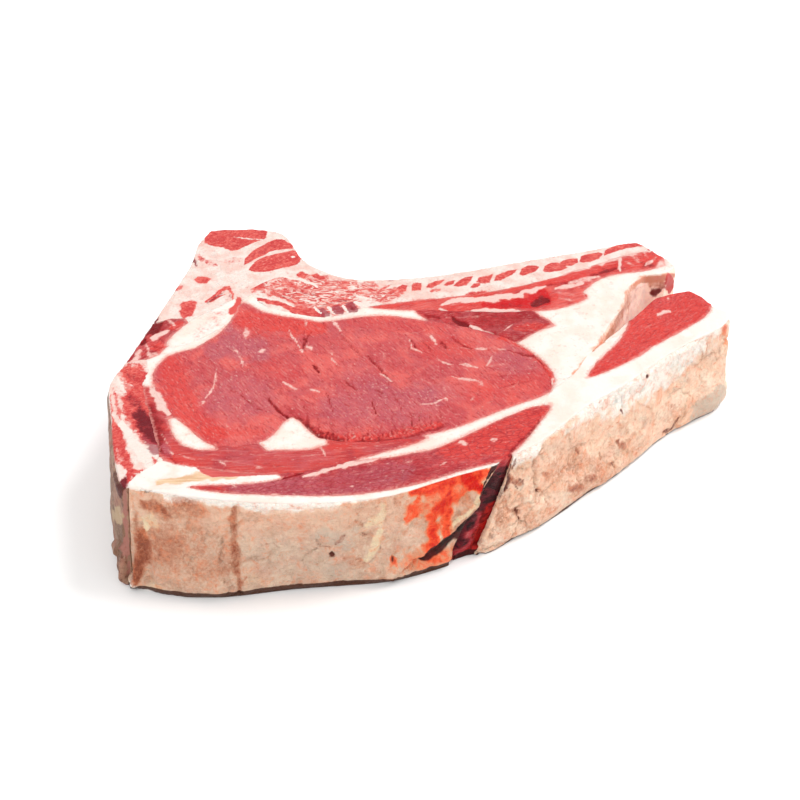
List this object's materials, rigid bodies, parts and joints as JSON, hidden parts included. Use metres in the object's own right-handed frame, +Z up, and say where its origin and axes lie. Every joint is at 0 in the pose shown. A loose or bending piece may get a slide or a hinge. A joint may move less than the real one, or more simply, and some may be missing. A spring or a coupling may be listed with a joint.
{
  "type": "raw bone-in rib steak",
  "caption": "Thick raw rib steak on the bone, lying flat: a lean eye with a crescent cap, rib and chine bone along the back, and a broad band of outer fat with a torn cleft.",
  "frame": {"origin": "on the resting face, under the middle of the bounding box", "axes": "+X from the spine side to the free rib end, +Y from the outer fat to the rib bone, +Z up through the thickness"},
  "size_m": [0.2192, 0.1644, 0.0389],
  "materials": {
    "red_meat": "moist raw muscle, fine grain, pale flecks of fat",
    "white_fat": "smooth cut fat, creamy white, faint gloss",
    "skin_fat": "outer fat with thin skin, beige and pink blotches, faint gloss",
    "cut_bone": "sawn bone with a pale rim and red marrow, moist",
    "sinew": "glossy cream-yellow ligament"
  },
  "bodies": {
    "root": {"rib_eye": "red_meat", "rib_cap": "red_meat", "outer_strip": "red_meat", "tail_strip": "red_meat", "wedge_meat": "red_meat", "rib_meat": "red_meat", "chine_meat": "red_meat", "rib_bone": "cut_bone", "chine_bone": "cut_bone", "feather_bone": "cut_bone", "bone_fat": "white_fat", "left_kernel": "white_fat", "middle_kernel": "white_fat", "left_seam": "white_fat", "rib_seam": "white_fat", "seam_fat": "white_fat", "left_fat": "skin_fat", "right_fat": "skin_fat", "backstrap": "sinew"}
  },
  "joints": []
}
